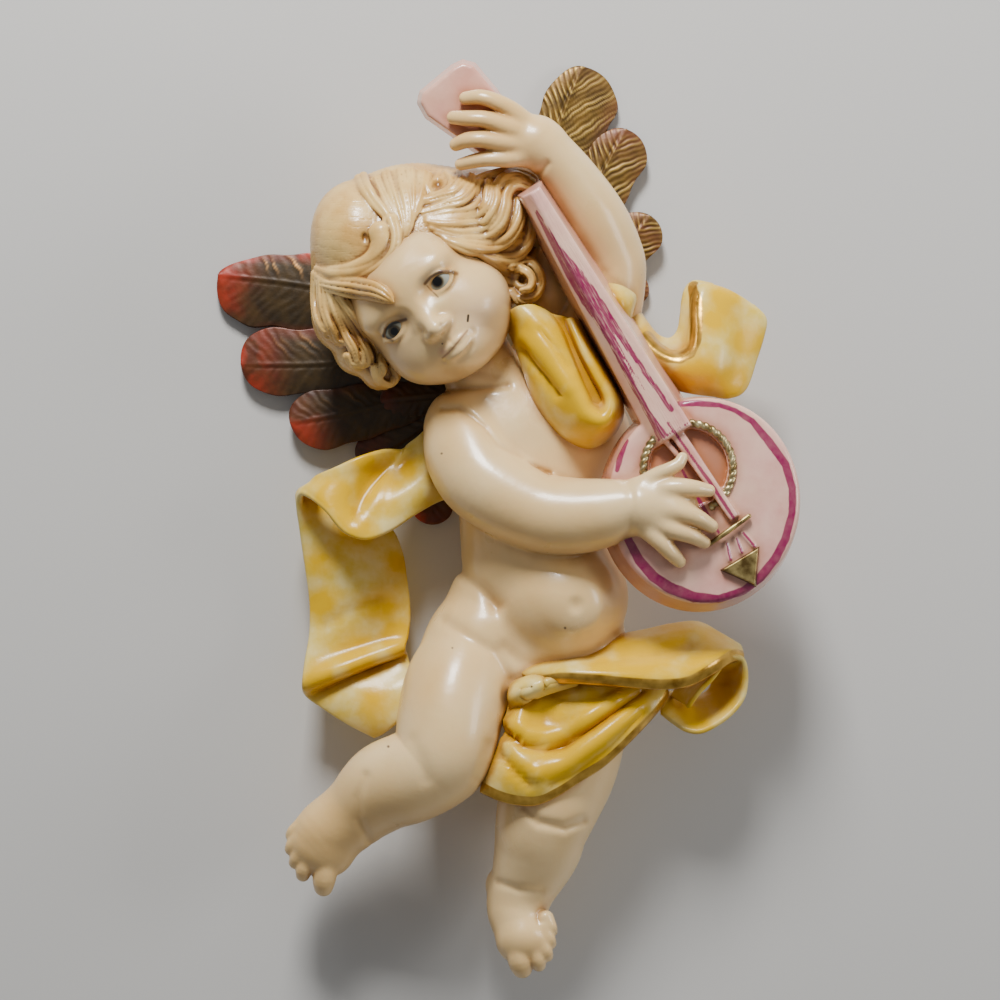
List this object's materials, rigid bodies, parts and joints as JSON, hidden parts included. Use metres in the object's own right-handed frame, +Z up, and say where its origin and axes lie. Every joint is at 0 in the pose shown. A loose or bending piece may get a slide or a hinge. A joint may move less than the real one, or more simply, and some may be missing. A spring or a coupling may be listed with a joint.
{
  "type": "cherub wall plaque",
  "caption": "Moulded and painted cherub wall ornament: a nude child with swept curls and drapery plays a round banjo, with spread wings fixed behind the shoulders.",
  "frame": {"origin": "on the flat back between the wings, where the plaque is held to the wall", "axes": "+Z up along the plaque's height, -Y towards the viewer, +X to the viewer's right"},
  "size_m": [0.2109, 0.0696, 0.3334],
  "materials": {
    "painted_skin": "glossy ivory lacquer with amber patina in the creases",
    "dark_gilt": "dark brown lacquer with red edges and rubbed gold",
    "antique_gold": "rubbed antique gold over brown",
    "painted_hair": "blond lacquer, darker in the grooves",
    "painted_cloth": "cream and yellow lacquer with gold hems",
    "painted_banjo": "pale pink lacquer with magenta lines and gold trim",
    "eye_glaze": "painted eyes under gloss"
  },
  "bodies": {
    "root": {"cherub_figure": "painted_skin", "wing_left": "dark_gilt", "wing_right": "antique_gold"}
  },
  "joints": []
}
